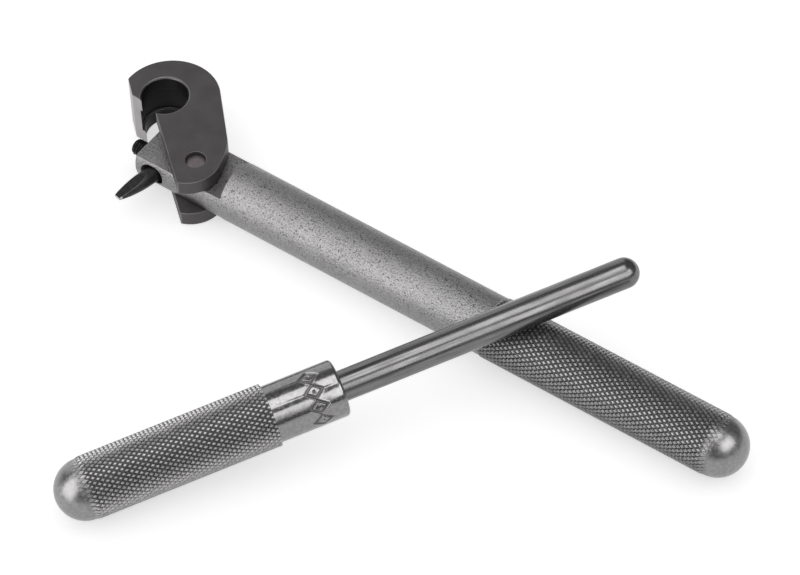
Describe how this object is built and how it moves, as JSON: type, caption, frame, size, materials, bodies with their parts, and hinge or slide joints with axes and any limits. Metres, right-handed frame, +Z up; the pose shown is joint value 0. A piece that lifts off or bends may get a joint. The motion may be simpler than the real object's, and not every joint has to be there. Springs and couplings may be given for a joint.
{
  "type": "hook-head prying lever",
  "caption": "Knurled round-bar lever with a pinned swinging hook head, a chisel pin and its set screw, and a separate knurled-handle support rod lying across it.",
  "frame": {"origin": "centre of the bounding box in plan, on the ground plane the two tools lie on", "axes": "+X along the lever from its hook head to its domed butt, +Z up, the lever's pivot axis parallel to Z"},
  "size_m": [0.198, 0.1324, 0.0273],
  "materials": {
    "bar_steel": "bead-blasted grey steel, finely pitted",
    "head_steel": "matte dark grey heat-treated steel with lighter worn edges",
    "pin_steel": "matte grey steel",
    "black_steel": "satin black oxide, bright ground tip",
    "screw_steel": "black oxide",
    "handle_steel": "satin turned steel",
    "rod_steel": "polished dark steel with lengthwise streaks"
  },
  "bodies": {
    "lever": {"lever_bar": "bar_steel"},
    "hook": {"hook_head": "head_steel", "pivot_pin": "pin_steel"},
    "chisel": {"chisel_pin": "black_steel"},
    "screw": {"chisel_set_screw": "screw_steel"},
    "rod_tool": {"rod_handle": "handle_steel", "support_rod": "rod_steel"}
  },
  "joints": [
    {"name": "hook_pivot", "type": "hinge", "parent": "lever", "child": "hook", "pos_m": [-0.06771, 0.03743, 0.00817], "axis": [0, 0, 1], "range_deg": [-50, 90]},
    {"name": "chisel_depth", "type": "slide", "parent": "lever", "child": "chisel", "axis": [-0.2233, -0.9748, 0], "range_m": [-0.003, 0.001]},
    {"name": "screw_out", "type": "slide", "parent": "lever", "child": "screw", "axis": [-1, 0, 0], "range_m": [0, 0.004]},
    {"name": "rod_lift", "type": "slide", "parent": "lever", "child": "rod_tool", "axis": [0, 0, 1], "range_m": [0, 0.1]}
  ]
}
